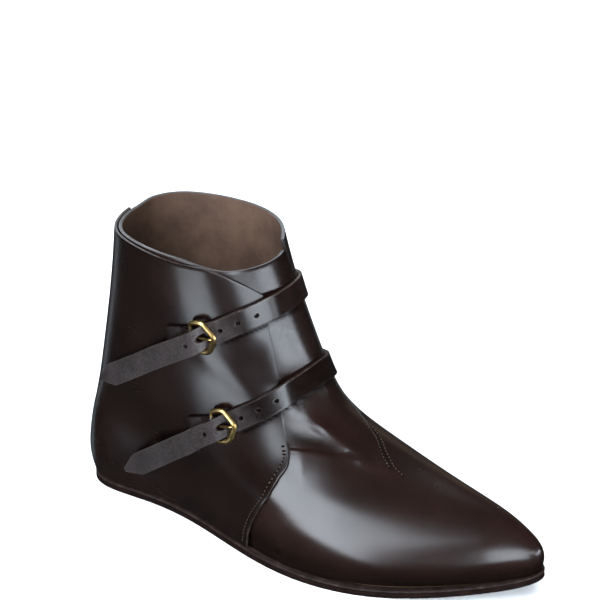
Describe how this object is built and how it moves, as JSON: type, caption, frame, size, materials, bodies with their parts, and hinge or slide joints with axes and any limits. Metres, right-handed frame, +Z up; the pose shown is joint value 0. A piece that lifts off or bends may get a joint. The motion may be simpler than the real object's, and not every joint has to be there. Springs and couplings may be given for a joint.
{
  "type": "medieval ankle boot",
  "caption": "Low-soled leather ankle boot with a pointed toe, an outer quarter laid over the vamp and buckled straps round the ankle.",
  "frame": {"origin": "on the floor, under the middle of the sole's box", "axes": "+X to the toe, +Z up, -Y to the outer side of the foot"},
  "size_m": [0.2954, 0.1, 0.175],
  "materials": {
    "upper_leather": "smooth polished dark brown",
    "strap_leather": "satin dark brown with fine grain",
    "sole_leather": "dyed and waxed",
    "welt_leather": "dyed, edge rubbed lighter",
    "insole_leather": "bare brown leather",
    "brass": "polished, darkened in the hollows"
  },
  "bodies": {
    "root": {"outsole": "sole_leather", "welt": "welt_leather", "insole": "insole_leather", "upper": "upper_leather", "lateral_quarter": "upper_leather", "strap_top": "strap_leather", "strap_bottom": "strap_leather", "chape_top": "strap_leather", "chape_bottom": "strap_leather", "buckle_top": "brass", "buckle_bottom": "brass", "prong_top": "brass", "prong_bottom": "brass"}
  },
  "joints": []
}
